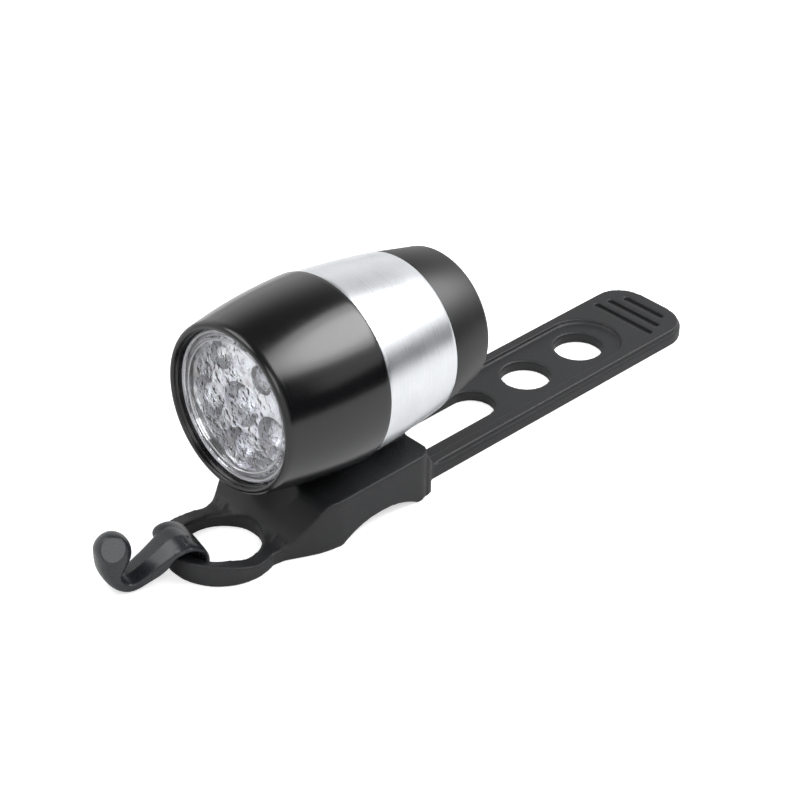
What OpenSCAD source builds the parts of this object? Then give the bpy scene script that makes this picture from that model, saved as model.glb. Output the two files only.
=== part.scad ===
// Small bicycle headlight: a turned aluminium barrel lamp on a rubber strap mount with an S-hook.
// Origin: crown of the handlebar seat under the strap. +X is the beam, +Y is left, +Z is up.

/* [Lamp barrel] */
// Nose-up angle of the lamp on its saddle
lamp_tilt = 3; // [0:0.5:6]
// Length of the black front shell
head_len = 20.4; // [18.5:0.1:24]
// Length of the bright middle band
band_len = 16.7; // [15:0.1:20]
// Length of the black rear shell
tail_len = 9.7; // [8.5:0.1:14]
// Radius of the front shell at its rear lip, the widest place
lip_r = 16.5; // [15:0.1:19]
// How much narrower the front shell is at its rim than at its lip
rim_drop = 2.1; // [1.5:0.1:2.5]
// Step from the lip down to the band
band_step = 0.3; // [0.1:0.05:0.6]
// How much narrower the band is at the seam than beside the lip
band_drop = 1.85; // [1.2:0.05:2.2]
// Bow of the band between its two ends, none for a straight cone
band_bow = 0.4; // [0:0.05:0.6]
// How much narrower the rear shell is at its end than at the seam
tail_drop = 1.75; // [1:0.05:2]
// How far the lip of the front shell lies ahead of the seat's crown
lip_x = 1.6; // [0:0.1:3]
// Rounding of the rear shell's end
tail_round = 1.2; // [0.4:0.1:1.6]

/* [Front shell] */
// Depth of the recess from the rim to the lens face
lens_recess = 1.5; // [1:0.1:3]
// Width of the rim's face
rim_w = 1; // [0.8:0.1:1.4]
// How much the recess narrows down to the lens
recess_taper = 0.4; // [0.2:0.1:1.2]
// Thickness of the ledge that holds the lens
ledge_t = 0.8; // [0.5:0.1:1.5]
// Width of the ledge that holds the lens
ledge_w = 0.8; // [0.6:0.05:0.9]
// Step from the bore out to the threaded socket
socket_step = 0.7; // [0.4:0.1:1]
// Chamfer at the rear lip
lip_chamfer = 0.3; // [0.1:0.05:0.5]
// Chamfer at the rim
rim_chamfer = 0.3; // [0.1:0.05:0.5]

/* [Optics and electronics] */
// Thickness of the lens flange
lens_t = 1.4; // [1:0.1:2]
// Thickness of the lens gasket
gasket_t = 0.4; // [0.3:0.1:0.8]
// Width of the reflector outside its cups
cup_edge = 1.3; // [1:0.1:1.5]
// Radius of a diode
led_r = 2.5; // [2.3:0.1:2.6]
// Height of a diode above its board
led_h = 8.6; // [8:0.1:8.8]
// How far a diode's flange stands out of its body
led_flange_w = 0.4; // [0.2:0.05:0.5]
// Thickness of a diode's flange
led_flange_t = 1; // [0.8:0.1:1.2]
// How much a reflector cup widens to its mouth
cup_flare = 1.3; // [0.8:0.1:1.4]
// Depth of a reflector cup
cup_depth = 4.4; // [3.5:0.1:5]
// Thickness of the diode board
board_t = 1.6; // [1:0.1:2]
// Radius of the contact's foot on the board
contact_foot_r = 4; // [3:0.1:5]
// Thickness of the contact's foot
contact_t = 0.4; // [0.3:0.1:0.6]
// Radius of the contact's stub
contact_r = 1.5; // [1:0.1:2]
// Distance from the board back to the battery carrier
carrier_gap = 1.6; // [1.2:0.1:2]
// Wall of the carrier round the cells
carrier_wall = 2.05; // [1.4:0.05:2.4]
// Thickness of a coin cell
cell_t = 3.2; // [2.8:0.1:3.6]
// Height of a coin cell's cap
cell_cap_t = 0.8; // [0.5:0.1:1]
// Step from a coin cell's can in to its cap
cell_cap_step = 1.2; // [0.8:0.1:2]
// Thickness of the carrier's floor behind the cells
carrier_floor = 1.5; // [1:0.1:2]
// Width of the ledge under the carrier's floor
carrier_ledge = 1; // [0.5:0.1:2]
// Radius of the contact hole in the carrier's floor
carrier_hole_r = 2.5; // [2:0.1:3]
// Distance from the seam ahead to the carrier's rear end
carrier_rear = 0.8; // [0.5:0.1:1.5]

/* [Band and rear shell] */
// Distance from the diode board back to the end of the threaded spigot
spigot_gap = 0.2; // [0.1:0.05:0.6]
// Wall of the threaded spigot
spigot_wall = 2.2; // [1.9:0.05:2.4]
// Radius of the cord of the sealing ring
ring_cord_r = 0.5; // [0.4:0.05:0.6]
// Distance from the lip to the sealing ring's groove
gland_set = 0.5; // [0.4:0.1:1]
// Room for the sealing ring in its groove
gland_slack = 0.3; // [0.2:0.05:0.5]
// Length of the rear spigot that the rear shell sits on
tail_spigot_len = 3; // [2.5:0.1:3.2]
// Wall of the rear shell round the rear spigot
tail_shell_wall = 1.45; // [1:0.05:1.8]
// Wall of the rear spigot
tail_spigot_wall = 1.3; // [1:0.1:1.4]
// Thickness of the rear shell's end wall
tail_wall = 1.8; // [1.5:0.1:2.2]

/* [Switch] */
// Radius of the push button
button_r = 5.2; // [4:0.1:6]
// How far the button stands out of the rear shell
button_proud = 0.8; // [0.5:0.1:1.5]
// Travel of the push button
button_travel = 1.2; // [0.8:0.1:1.3]
// Width of the button's skirt
skirt_w = 1.2; // [0.8:0.1:1.6]
// Thickness of the button's skirt and of the ring round it
skirt_t = 1; // [0.8:0.1:1.2]
// Radius of the pin under the button
pin_r = 1.6; // [1.2:0.1:2]
// Length of the pin under the button
pin_len = 1; // [0.6:0.1:1.4]
// Thickness of the switch board
switch_board_t = 1.6; // [1:0.1:1.8]
// Side of the switch under the button
switch_side = 7; // [6:0.5:8]
// Height of the switch on its board
switch_h = 1.8; // [1.5:0.1:2]

/* [Saddle] */
// Radius of the handlebar seat
seat_r = 15.6; // [13:0.1:18]
// Height of the seat's crown over the table
seat_rise = 2.6; // [2:0.1:3.5]
// Width of the saddle block
block_w = 25; // [22:0.5:28]
// Height of the saddle block over the table
block_h = 9.1; // [8.5:0.1:10]
// Distance from the seat's crown back to the rear face of the block
block_rear = 12.1; // [11:0.1:14]
// Distance from the seat's crown ahead to the top of the ramp
block_front = 11.5; // [11:0.1:13]
// Length of the ramp down to the loop
ramp_len = 8; // [7:0.1:9]
// Distance from the ramp's top to the bend in it
knee_set = 3.6; // [3:0.1:4.5]
// How far the bend in the ramp lies below the block's top
knee_drop = 3.7; // [3:0.1:4.5]
// Distance from the ramp's top to the place where the block starts to narrow
taper_set = 1.5; // [1:0.1:3]
// Distance from the neck to the loop's centre
neck_set = 5.8; // [5:0.1:6.5]
// How far the neck's sides lie inside the loop's
neck_in = 0.4; // [0.2:0.1:1]
// Width of the pad that carries the band
pad_w = 11; // [9:0.5:12]
// Distance from the lip back to the pad
pad_set = 1; // [0.8:0.1:2]

/* [Loop] */
// Distance from the ramp's foot to the loop's centre
loop_set = 4.7; // [4:0.1:6]
// Outer radius of the loop
loop_r = 9.5; // [9:0.1:10]
// Width of the loop's band
loop_band = 2.6; // [2.2:0.1:2.8]
// Thickness of the loop beside the ramp
loop_t = 3; // [2.5:0.1:3.5]
// Thickness of the loop's front bar
bar_t = 4.2; // [3.8:0.1:4.4]
// Length of the thick front bar
bar_len = 3.3; // [3:0.1:3.6]
// Radius of the rear end of the loop's hole
loop_hole_r = 6.2; // [5.5:0.1:6.6]
// Distance from the loop's centre back to the rear end of its hole
loop_hole_set = 8; // [7.4:0.1:8.6]

/* [Tongue] */
// Width of the strap's tongue
tongue_w = 18.7; // [17:0.1:20]
// Thickness of the tongue at its raised edges
tongue_t = 2.6; // [2.2:0.1:3]
// Distance from the farther hole to the tip
tip_len = 22.4; // [20:0.1:28]
// Rounding of the tip's corners
tip_round = 5.5; // [3:0.1:7]
// Distance from the block back to the place where the tongue bends
root_len = 6.4; // [5.4:0.1:9]
// Width of the long slot
slot_w = 8.5; // [7:0.1:9.5]
// Distance from the bend to the end of the slot
slot_len = 20.9; // [18:0.1:24]
// Radius of the two strap holes
hole_r = 4.65; // [4:0.05:5]
// Distance from the end of the slot to the nearer hole
hole_gap = 7.9; // [7:0.1:10]
// Distance between the two holes
hole_pitch = 13.8; // [12.5:0.1:14.5]
// Width of the raised edge beside the recess
edge_w = 1.5; // [1:0.1:2]
// Depth of the recess and of the grip grooves
recess_depth = 0.5; // [0.3:0.1:0.8]
// Distance between grip grooves
groove_pitch = 3; // [2.5:0.1:3.2]
// Width of a grip groove
groove_w = 0.9; // [0.6:0.1:1.2]
// Number of grip grooves
groove_count = 3; // [2:1:3]
// Length of the groove nearest the tip
groove_len = 8.8; // [6:0.1:10]
// Length that each groove gains on the one behind it
groove_step = 2.2; // [0:0.1:2.5]

/* [Hook] */
// Place of the hook along the round loop, as an angle
hook_slew = -13; // [-16:1:16]
// Width of the hook over the loop
hook_w = 9; // [8:0.1:9.2]
// Width of the hook at its lobe
lobe_w = 7; // [6:0.1:7.8]
// Wall of the eye over the loop's bar
eye_wall = 1.93; // [1.7:0.01:2.3]
// Thickness of the hook's plate
plate_t = 1.9; // [1.7:0.1:2.1]
// Slope of the plate down from the eye
plate_slope = 34; // [30:1:38]
// Distance from the loop's bar to the hook's inner corner
lobe_x = 8.7; // [8.2:0.1:9.5]
// Radius of the hook's outer bend
bend_r = 3.6; // [3.4:0.1:3.8]
// Distance from the inner corner ahead to the bend's centre
bend_set = 0.7; // [0.5:0.1:1]
// Distance from the inner corner ahead to the centre of the lobe's top
lobe_set = 1.7; // [1.4:0.1:2]
// Height of the lobe's top over the bar's centre
lobe_h = 7.35; // [6.8:0.05:8]
// Radius of the lobe's top
lobe_r = 2.75; // [2.4:0.05:2.9]

/* [Fastening] */
// Distance of the saddle screw along the lamp's axis
screw_x = -6; // [-7:0.1:-4.5]
// Radius of the saddle screw
screw_r = 1.5; // [1.2:0.1:1.6]
// How far the screw's head stands out of its shank
screw_head_w = 1.25; // [1:0.05:1.5]
// Height of the screw's head
screw_head_h = 1.8; // [1.5:0.1:2]
// Radius of the screw's hexagon socket
hex_r = 1.4; // [1.2:0.05:1.5]
// Depth of the screw's hexagon socket
hex_depth = 1; // [0.8:0.1:1.2]
// Distance from the band's bore to the screw's tip
screw_set = 0.5; // [0.2:0.1:1]
// How far the washer stands out of the screw's shank
washer_w = 1.75; // [1.5:0.05:2]
// Thickness of the washer
washer_t = 0.6; // [0.4:0.1:0.8]
// Rubber between the band and the washer
screw_grip = 4.45; // [4:0.05:4.8]

/* [Fits] */
// Running clearance of pieces that turn or slide
run_clear = 0.1; // [0.05:0.01:0.15]
// Clearance of pieces that are seated
seat_clear = 0.05; // [0.02:0.01:0.1]
// Free gap between pieces that move past each other
free_gap = 0.3; // [0.2:0.05:0.35]

/* [Hidden] */
$fn = 96;
// Overlap that lets a cut pass through a face
cut = 1;
// Straight steps along a drawn curve
curve_steps = 16;
led_ring_count = 5;
hex_sides = 6;
floor_z = -seat_rise;
block_top = floor_z + block_h;
axis_z = block_top + free_gap - lip_x * sin(lamp_tilt) + lip_r * cos(lamp_tilt);
rim_r = lip_r - rim_drop;
band_front_r = lip_r - band_step;
seam_r = band_front_r - band_drop;
tail_end_r = seam_r - tail_drop;
recess_r = rim_r - rim_w;
window_r = recess_r - recess_taper;
head_bore_r = window_r + ledge_w;
socket_r = head_bore_r + socket_step;
rim_x = lip_x + head_len;
seam_x = lip_x - band_len;
end_x = seam_x - tail_len;
lens_x = rim_x - lens_recess;
ledge_x = lens_x - ledge_t;
gasket_x = ledge_x - gasket_t;
lens_back_x = gasket_x - lens_t;
diode_tip_x = lens_back_x - run_clear;
board_front_x = diode_tip_x - led_h;
board_x = board_front_x - board_t;
led_flange_r = led_r + led_flange_w;
cup_r = led_r + run_clear + cup_flare;
led_ring_r = head_bore_r - cup_edge - cup_r;
spigot_x = board_x - spigot_gap;
spigot_r = socket_r - seat_clear;
socket_x = spigot_x + run_clear;
band_bore_r = spigot_r - spigot_wall;
reflector_x = board_front_x + led_flange_t + seat_clear;
reflector_front_x = lens_back_x - run_clear;
cup_floor_x = reflector_front_x - cup_depth;
gland_r = spigot_r - 2 * ring_cord_r - seat_clear;
gland_x = lip_x + gland_set;
gland_w = 2 * ring_cord_r + gland_slack;
carrier_r = band_bore_r - run_clear;
carrier_front_x = board_x - carrier_gap;
carrier_x = seam_x + carrier_rear;
pocket_r = carrier_r - carrier_wall;
pocket_depth = 2 * cell_t + run_clear;
cell_r = pocket_r - run_clear;
tail_spigot_r = seam_r - tail_shell_wall;
tail_bore_r = tail_spigot_r - tail_spigot_wall;
tail_inner_x = end_x + tail_wall;
skirt_r = button_r + skirt_w;
skirt_x = tail_inner_x + free_gap / 2;
pin_x = skirt_x + skirt_t + pin_len;
switch_top_x = pin_x + button_travel + free_gap / 2;
switch_board_x = switch_top_x + switch_h;
screw_tip_r = band_bore_r + screw_set;
screw_head_r = screw_r + screw_head_w;
washer_r = screw_r + washer_w;
washer_seat = band_radius(screw_x) + screw_grip;
loop_x = block_front + ramp_len + loop_set;
loop_mid_r = loop_r - loop_band / 2;
bar_z = floor_z + bar_t / 2;
bar_corner_r = norm([loop_band / 2, bar_t / 2]);
eye_bore_r = bar_corner_r + free_gap;
eye_r = eye_bore_r + eye_wall;
tongue_mid_z = floor_z + tongue_t / 2;
bend_x = block_rear + root_len;
slot_end = bend_x + slot_len;
hole_x = slot_end + hole_gap;
far_hole_x = hole_x + hole_pitch;
tongue_end = far_hole_x + tip_len;
recess_half_w = tongue_w / 2 - edge_w;

// Points of an arc about a centre, from one angle to another
function arc(centre, r, from, to) =
    [for (i = [0:curve_steps]) let (a = from + (to - from) * i / curve_steps) centre + r * [cos(a), sin(a)]];

// Radius of the front shell at a place along the axis: flattest at the lip, falling away to the rim
function head_radius(x) = lip_r - (lip_r - rim_r) * pow((x - lip_x) / head_len, 2);

// Radius of the band at a place along the axis
function band_radius(x) =
    let (u = (lip_x - x) / band_len)
    band_front_r - (band_front_r - seam_r) * ((1 - band_bow) * u + band_bow * u * u);

// Largest radius of the eye's bore: clears the round loop where the loop leaves the hook's sides
function eye_mouth_r() =
    let (inner = loop_r - loop_band, back = loop_mid_r - sqrt(inner * inner - hook_w * hook_w / 4))
    norm([back, bar_t / 2]) + free_gap;

// Puts a shape drawn along +Z onto the lamp's tilted axis
module on_axis() {
    translate([0, 0, axis_z])
        rotate([0, 90 - lamp_tilt, 0])
            children();
}

// Turned ring or disc between two places along the axis
module turned(x0, x1, r, bore = 0) {
    translate([0, 0, x0])
        difference() {
            cylinder(r = r, h = x1 - x0);
            if (bore > 0)
                translate([0, 0, -cut])
                    cylinder(r = bore, h = x1 - x0 + 2 * cut);
        }
}

// Puts a shape on the radius of one diode, seen from the front; the first one is in the middle
module at_diode(i) {
    if (i == 0)
        children();
    else
        rotate([0, 0, 360 * (i - 1) / led_ring_count])
            translate([led_ring_r, 0, 0])
                children();
}

// Front shell: black turned aluminium, screwed onto the band
module front_shell() {
    curve_len = head_len - lip_chamfer - rim_chamfer;
    outer = [
        [lip_r - lip_chamfer, lip_x],
        for (i = [0:curve_steps])
            let (x = lip_x + lip_chamfer + curve_len * i / curve_steps) [head_radius(x), x]
    ];
    inner = [
        [rim_r - rim_chamfer, rim_x], [recess_r, rim_x], [window_r, lens_x], [window_r, ledge_x],
        [head_bore_r, ledge_x], [head_bore_r, socket_x], [socket_r, socket_x], [socket_r, lip_x]
    ];
    color("#151517")
        on_axis()
            rotate_extrude()
                polygon(concat(outer, inner));
}

// Gasket: a soft ring between the ledge and the lens flange
module lens_gasket() {
    color("#2b2b2b")
        on_axis()
            turned(gasket_x, ledge_x, head_bore_r - run_clear, window_r);
}

// Lens: clear disc with a flange behind the ledge and a raised face in the window
module lens() {
    color("#e8f0f4", 0.5)
        on_axis() {
            turned(lens_back_x, gasket_x, head_bore_r - run_clear);
            turned(gasket_x, lens_x, window_r - run_clear);
        }
}

// Reflector: plated disc with one cup for each diode
module reflector() {
    color("#d9dcdf")
        on_axis()
            difference() {
                turned(reflector_x, reflector_front_x, head_bore_r - run_clear);
                for (i = [0:led_ring_count])
                    at_diode(i) {
                        turned(reflector_x - cut, reflector_front_x + cut, led_r + run_clear);
                        translate([0, 0, cup_floor_x])
                            cylinder(r1 = led_r + run_clear, r2 = cup_r, h = cup_depth);
                    }
            }
}

// Diode: flange, straight body and round tip
module diode(i) {
    color("#f4f8fb")
        on_axis()
            at_diode(i) {
                turned(board_front_x, board_front_x + led_flange_t, led_flange_r);
                turned(board_front_x + led_flange_t, diode_tip_x - led_r, led_r);
                intersection() {
                    translate([0, 0, diode_tip_x - led_r])
                        sphere(r = led_r);
                    turned(diode_tip_x - led_r, diode_tip_x + cut, led_r + cut);
                }
            }
}

// Diode board: round circuit board behind the reflector
module led_board() {
    color("#2f6b3d")
        on_axis()
            turned(board_x, board_front_x, head_bore_r - seat_clear);
}

// Contact under the board: a flat foot and a stub that reaches to the front cell
module board_contact() {
    color("#c8a24a")
        on_axis() {
            turned(board_x - contact_t, board_x, contact_foot_r);
            turned(carrier_front_x + free_gap / 2, board_x - contact_t, contact_r);
        }
}

// Battery carrier: plastic cup that slides in the band and holds the two cells
module battery_carrier() {
    floor_x = carrier_front_x - pocket_depth - carrier_floor;
    color("#3a3d40")
        on_axis()
            difference() {
                turned(carrier_x, carrier_front_x, carrier_r);
                turned(carrier_front_x - pocket_depth, carrier_front_x + cut, pocket_r);
                turned(carrier_x - cut, floor_x, cell_r - carrier_ledge);
                turned(carrier_x, carrier_front_x, carrier_hole_r);
            }
}

// Coin cell: wide can with a narrower cap at the front
module coin_cell(x) {
    cap_x = x + cell_t - cell_cap_t;
    color("#b9bcc0")
        on_axis() {
            turned(x, cap_x, cell_r);
            turned(cap_x, x + cell_t, cell_r - cell_cap_step);
        }
}

// Band: bright turned aluminium with the threaded spigot ahead and a plain spigot behind
module body_band() {
    outer = [for (i = [0:curve_steps]) let (x = seam_x + band_len * i / curve_steps) [band_radius(x), x]];
    inner = [
        [spigot_r, lip_x], [spigot_r, spigot_x], [band_bore_r, spigot_x],
        [band_bore_r, seam_x], [tail_bore_r, seam_x], [tail_bore_r, seam_x - tail_spigot_len],
        [tail_spigot_r, seam_x - tail_spigot_len], [tail_spigot_r, seam_x]
    ];
    color("#d4d6d8")
        on_axis()
            difference() {
                rotate_extrude()
                    polygon(concat(outer, inner));
                difference() {
                    turned(gland_x, gland_x + gland_w, spigot_r + cut);
                    turned(gland_x - cut, gland_x + gland_w + cut, gland_r);
                }
                translate([0, 0, screw_x])
                    rotate([0, 90, 0])
                        cylinder(r = screw_r + seat_clear, h = lip_r + cut);
            }
}

// Sealing ring in the spigot's groove
module o_ring() {
    color("#1c1c1c")
        on_axis()
            translate([0, 0, gland_x + gland_w / 2])
                rotate_extrude()
                    translate([gland_r + ring_cord_r + seat_clear / 2, 0])
                        circle(r = ring_cord_r);
}

// Rear shell: black cap on the rear spigot, with a hole for the button
module rear_shell() {
    round_c = [tail_end_r - tail_round, end_x + tail_round];
    mouth_x = seam_x - seat_clear;
    mouth_r = tail_spigot_r + seat_clear;
    step_x = mouth_x - tail_spigot_len;
    outer = concat(
        [[button_r + run_clear, end_x]], arc(round_c, tail_round, -90, 0), [[seam_r - seat_clear, mouth_x]]
    );
    inner = [
        [mouth_r, mouth_x], [mouth_r, step_x], [tail_bore_r, step_x], [tail_bore_r, tail_inner_x],
        [button_r + run_clear, tail_inner_x]
    ];
    color("#1a1a1c")
        on_axis()
            rotate_extrude()
                polygon(concat(outer, inner));
}

// Switch board: round board held in the rear spigot
module switch_board() {
    color("#2f6b3d")
        on_axis()
            turned(switch_board_x, switch_board_x + switch_board_t, tail_bore_r - seat_clear);
}

// Switch: square body on the rear of its board
module switch_body() {
    color("#202020")
        on_axis()
            translate([-switch_side / 2, -switch_side / 2, switch_top_x])
                cube([switch_side, switch_side, switch_h]);
}

// Boot ring: holds the rubber button's skirt against the end wall
module boot_ring() {
    color("#55585c")
        on_axis()
            turned(tail_inner_x, tail_inner_x + skirt_t, tail_bore_r - seat_clear, skirt_r + free_gap);
}

// Push button: soft cap, skirt and the pin that presses the switch
module push_button() {
    color("#2a2a2c")
        on_axis() {
            turned(end_x - button_proud, skirt_x, button_r);
            turned(skirt_x, skirt_x + skirt_t, skirt_r);
            turned(skirt_x + skirt_t, pin_x, pin_r);
        }
}

// Puts a shape drawn along +Z onto the screw's axis, with +Z away from the lamp
module on_screw() {
    on_axis()
        translate([0, 0, screw_x])
            rotate([0, 90, 0])
                children();
}

// Washer under the screw's head
module screw_washer() {
    color("#b5b8bb")
        on_screw()
            turned(washer_seat, washer_seat + washer_t, washer_r, screw_r + run_clear);
}

// Saddle screw: from the seat through the saddle into the band
module saddle_screw() {
    head_x = washer_seat + washer_t;
    color("#b5b8bb")
        on_screw()
            difference() {
                union() {
                    turned(screw_tip_r, head_x + hex_depth / 2, screw_r);
                    turned(head_x, head_x + screw_head_h, screw_head_r);
                }
                translate([0, 0, head_x + screw_head_h - hex_depth])
                    cylinder(r = hex_r, h = hex_depth + cut, $fn = hex_sides);
            }
}

// Outline of the saddle and loop, seen from above
module saddle_plan() {
    taper_x = block_front + taper_set;
    neck_x = loop_x - neck_set;
    neck_y = loop_r - neck_in;
    polygon([
        [-block_rear, -block_w / 2], [taper_x, -block_w / 2], [neck_x, -neck_y], [loop_x, -loop_mid_r],
        [loop_x, loop_mid_r], [neck_x, neck_y], [taper_x, block_w / 2], [-block_rear, block_w / 2]
    ]);
    translate([loop_x, 0])
        circle(r = loop_r);
}

// Outline of the saddle and loop, seen from the side
module saddle_side() {
    ramp_end = block_front + ramp_len;
    bar_x = loop_x + loop_r - bar_len;
    polygon([
        [-block_rear, floor_z], [loop_x + loop_r, floor_z], [loop_x + loop_r, floor_z + bar_t],
        [bar_x, floor_z + bar_t], [loop_x, floor_z + loop_t], [ramp_end, floor_z + loop_t],
        [block_front + knee_set, block_top - knee_drop], [block_front, block_top], [-block_rear, block_top]
    ]);
}

// Pad on the block, hollowed to the band that lies on it
module saddle_pad() {
    pad_front = lip_x - pad_set;
    difference() {
        translate([-block_rear, -pad_w / 2, block_top - cut])
            cube([block_rear + pad_front, pad_w, axis_z - block_top - band_bore_r + cut]);
        on_axis()
            rotate_extrude()
                polygon([
                    [0, seam_x - tail_len], [tail_end_r, seam_x - tail_len], [seam_r + seat_clear, seam_x],
                    for (i = [1:curve_steps])
                        let (x = seam_x + band_len * i / curve_steps) [band_radius(x) + seat_clear, x],
                    [lip_r + free_gap, lip_x], [0, lip_x]
                ]);
    }
}

// Strap saddle: rubber block with the handlebar seat, the lamp's pad, the loop and the tongue's roots
module strap_saddle() {
    arm_w = (tongue_w - slot_w) / 2;
    root_gap = tongue_t / 2 + free_gap;
    color("#2e2f31")
        difference() {
            union() {
                intersection() {
                    translate([0, 0, floor_z])
                        linear_extrude(block_h)
                            saddle_plan();
                    rotate([90, 0, 0])
                        linear_extrude(block_w + cut, center = true)
                            saddle_side();
                }
                saddle_pad();
                for (side = [-1, 1])
                    translate([-bend_x + root_gap, side * (slot_w + arm_w) / 2 - arm_w / 2, floor_z])
                        cube([bend_x - root_gap - block_rear + cut, arm_w, tongue_t]);
            }
            translate([0, 0, -seat_r])
                rotate([90, 0, 0])
                    cylinder(r = seat_r, h = block_w + 2 * cut, center = true);
            translate([0, 0, floor_z - cut])
                linear_extrude(block_h + 2 * cut) {
                    translate([loop_x, 0])
                        circle(r = loop_r - loop_band);
                    translate([loop_x - loop_hole_set + loop_hole_r, 0])
                        circle(r = loop_hole_r);
                }
            on_screw()
                turned(band_bore_r, washer_seat + cut, screw_r + free_gap);
            on_screw()
                turned(washer_seat, washer_seat + block_h, washer_r + free_gap);
        }
}

// Outline of the tongue, seen from above, from its round root to the tip
module tongue_plan() {
    corner_x = -tongue_end + tip_round;
    corner_y = tongue_w / 2 - tip_round;
    root_x = -bend_x + tongue_t;
    difference() {
        polygon(concat(
            [[root_x, tongue_w / 2]], arc([corner_x, corner_y], tip_round, 90, 180),
            arc([corner_x, -corner_y], tip_round, 180, 270), [[root_x, -tongue_w / 2]]
        ));
        translate([-slot_end + slot_w / 2, -slot_w / 2])
            square([slot_end, slot_w]);
        translate([-slot_end + slot_w / 2, 0])
            circle(d = slot_w);
        for (x = [hole_x, far_hole_x])
            translate([-x, 0])
                circle(r = hole_r);
    }
}

// Outline of the tongue, seen from the side, with the round root that turns about the bend
module tongue_side() {
    translate([-tongue_end, floor_z])
        square([tongue_end - bend_x, tongue_t]);
    translate([-bend_x, tongue_mid_z])
        circle(d = tongue_t);
}

// Strap tongue: flexible strap with slot, holes, recess and grip grooves
module strap_tongue() {
    recess_z = floor_z + tongue_t - recess_depth;
    last_groove_x = -tongue_end + groove_pitch;
    color("#2e2f31")
        difference() {
            intersection() {
                translate([0, 0, floor_z])
                    linear_extrude(tongue_t)
                        tongue_plan();
                rotate([90, 0, 0])
                    linear_extrude(tongue_w + cut, center = true)
                        tongue_side();
            }
            translate([0, 0, recess_z])
                linear_extrude(recess_depth + cut) {
                    translate([-far_hole_x, -recess_half_w])
                        square([far_hole_x - bend_x - tongue_t, 2 * recess_half_w]);
                    translate([-far_hole_x, 0])
                        circle(r = recess_half_w);
                }
            for (i = [0:groove_count - 1])
                translate([last_groove_x + i * groove_pitch, 0, recess_z + (recess_depth + cut) / 2])
                    cube([groove_w, groove_len + i * groove_step, recess_depth + cut], center = true);
        }
}

// Side outline of the hook's eye, plate, bend and lobe, about the bar's centre
module hook_side() {
    across = [cos(90 - plate_slope), sin(90 - plate_slope)];
    bend_c = [lobe_x + bend_set, bend_r - bar_t / 2 + run_clear];
    lobe_c = [lobe_x + lobe_set, lobe_h - lobe_r];
    lobe_from = 140;
    corner_z = (eye_r - lobe_x * across[0]) / across[1];
    bend_to = -90 - plate_slope;
    leg_z = run_clear - bar_t / 2;
    polygon(concat(
        arc([0, 0], eye_r, 180 - asin(leg_z / eye_r), 90 - plate_slope),
        [[lobe_x, corner_z]],
        arc(lobe_c, lobe_r, lobe_from, 0),
        arc(bend_c, bend_r, 0, bend_to),
        [[(eye_r - plate_t) / across[0], 0], [0, 0], [0, leg_z]]
    ));
}

// Hook: stiff plastic S-hook whose eye sits over the loop's front bar
module hook() {
    half = hook_w / 2;
    mouth_r = eye_mouth_r();
    reach = lobe_x + 2 * bend_r;
    color("#3c3e41")
        translate([loop_x, 0, bar_z])
            rotate([0, 0, hook_slew])
                translate([loop_mid_r, 0, 0])
                    difference() {
                        intersection() {
                            rotate([90, 0, 0])
                                linear_extrude(hook_w, center = true)
                                    hook_side();
                            translate([0, 0, -reach])
                                linear_extrude(2 * reach)
                                    polygon([
                                        [-eye_r, -half], [eye_r / 2, -half], [lobe_x, -lobe_w / 2],
                                        [reach, -lobe_w / 2], [reach, lobe_w / 2], [lobe_x, lobe_w / 2],
                                        [eye_r / 2, half], [-eye_r, half]
                                    ]);
                        }
                        rotate([90, 0, 0])
                            rotate_extrude()
                                polygon([
                                    [0, -half - cut], [mouth_r, -half - cut], [mouth_r, -half],
                                    [eye_bore_r, 0], [mouth_r, half], [mouth_r, half + cut], [0, half + cut]
                                ]);
                    }
}

front_shell();
lens_gasket();
lens();
reflector();
diode(0);  // led_1
diode(1);  // led_2
diode(2);  // led_3
diode(3);  // led_4
diode(4);  // led_5
diode(5);  // led_6
led_board();
board_contact();
battery_carrier();
coin_cell(carrier_front_x - cell_t - run_clear / 2);  // cell_front
coin_cell(carrier_front_x - pocket_depth);  // cell_rear
body_band();
o_ring();
rear_shell();
switch_board();
switch_body();
boot_ring();
push_button();
screw_washer();
saddle_screw();
strap_saddle();
strap_tongue();
hook();
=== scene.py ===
import math

import bmesh
import bpy
from mathutils import Matrix, Quaternion, Vector


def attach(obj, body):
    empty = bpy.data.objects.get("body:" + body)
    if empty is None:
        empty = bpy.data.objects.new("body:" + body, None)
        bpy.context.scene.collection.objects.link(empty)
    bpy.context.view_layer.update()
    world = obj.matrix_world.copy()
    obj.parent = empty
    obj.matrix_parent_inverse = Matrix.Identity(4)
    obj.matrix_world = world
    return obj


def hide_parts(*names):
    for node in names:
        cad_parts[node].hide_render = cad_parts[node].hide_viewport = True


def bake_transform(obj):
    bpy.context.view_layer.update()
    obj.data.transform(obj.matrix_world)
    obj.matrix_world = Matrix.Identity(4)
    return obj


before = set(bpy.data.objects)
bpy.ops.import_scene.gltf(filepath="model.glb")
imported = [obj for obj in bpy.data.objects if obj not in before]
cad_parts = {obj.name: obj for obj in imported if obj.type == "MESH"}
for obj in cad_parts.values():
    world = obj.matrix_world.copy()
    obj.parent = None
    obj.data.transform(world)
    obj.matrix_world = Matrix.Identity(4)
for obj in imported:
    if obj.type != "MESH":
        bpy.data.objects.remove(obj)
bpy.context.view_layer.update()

# Camera: the lamp lies on a white table and is seen from ahead, from its left and from above,
# at 0.44 m through a long lens. The picture hangs a little out of level, so the camera is rolled.
mm = 0.001
scene = bpy.context.scene
scene.view_settings.view_transform = "Standard"
camera = bpy.data.objects.new("photo_camera", bpy.data.cameras.new("photo_camera"))
camera.data.lens = 117
camera.data.sensor_width = 36
camera.data.clip_start = 10 * mm
camera.location = Vector((238.98, 260.46, 255.73)) * mm
looked_at = Vector((-16.1, 0, 8.62)) * mm
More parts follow.
